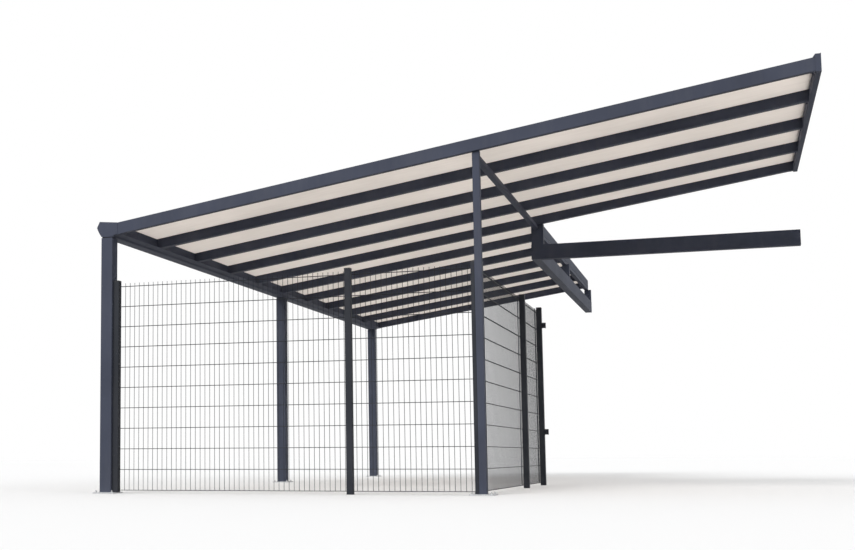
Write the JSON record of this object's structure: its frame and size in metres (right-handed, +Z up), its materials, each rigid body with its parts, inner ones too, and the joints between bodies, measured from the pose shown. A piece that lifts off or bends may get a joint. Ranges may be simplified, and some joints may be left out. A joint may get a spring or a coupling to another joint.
{
  "type": "lean-to carport",
  "caption": "Lean-to carport on slim posts: gutter beam, sloping rafters under opal roof sheets, stepped plan and wire mesh side screens.",
  "frame": {"origin": "centre of the underside of the front gutter post's foot plate", "axes": "+X from the gutter to the house wall, +Y back along the gutter, +Z up"},
  "size_m": [6.675, 10.41, 3.6582],
  "materials": {
    "coated_aluminium": "fine-textured matt anthracite powder coating",
    "opal_sheet": "opal twin-wall polycarbonate, satin",
    "coated_mesh_steel": "galvanised and anthracite powder coated",
    "galvanised_steel": "hot-dip galvanised"
  },
  "bodies": {
    "root": {"bay_mesh_post": "coated_mesh_steel", "corner_mesh_post": "coated_mesh_steel", "cover_strips": "coated_aluminium", "foot_plates": "galvanised_steel", "front_gutter_post": "coated_aluminium", "front_mid_beam": "coated_aluminium", "front_mid_post": "coated_aluminium", "front_stub_post": "coated_aluminium", "front_verge_rafter": "coated_aluminium", "gutter_beam": "coated_aluminium", "gutter_end_caps": "coated_aluminium", "house_wall_beam": "coated_aluminium", "mesh_clamp_bars": "coated_mesh_steel", "middle_gutter_post": "coated_aluminium", "narrow_mesh_panel": "coated_mesh_steel", "rafter_10": "coated_aluminium", "rafter_2": "coated_aluminium", "rafter_3": "coated_aluminium", "rafter_4": "coated_aluminium", "rafter_5": "coated_aluminium", "rafter_6": "coated_aluminium", "rafter_7": "coated_aluminium", "rafter_8": "coated_aluminium", "rafter_9": "coated_aluminium", "rear_edge_trim": "coated_aluminium", "rear_gutter_post": "coated_aluminium", "rear_mid_beam": "coated_aluminium", "rear_stub_posts": "coated_aluminium", "rear_verge_rafter": "coated_aluminium", "return_mesh_panel": "coated_mesh_steel", "return_mesh_post": "coated_mesh_steel", "roof_sheet_1": "opal_sheet", "roof_sheet_10": "opal_sheet", "roof_sheet_2": "opal_sheet", "roof_sheet_3": "opal_sheet", "roof_sheet_4": "opal_sheet", "roof_sheet_5": "opal_sheet", "roof_sheet_6": "opal_sheet", "roof_sheet_7": "opal_sheet", "roof_sheet_8": "opal_sheet", "roof_sheet_9": "opal_sheet", "side_wall_beam": "coated_aluminium", "slim_mesh_posts": "coated_mesh_steel", "wall_mesh_panel": "coated_mesh_steel", "wall_mesh_post": "coated_mesh_steel", "wall_plate": "coated_aluminium", "wall_plate_end_caps": "coated_aluminium", "wide_mesh_panel": "coated_mesh_steel"}
  },
  "joints": []
}
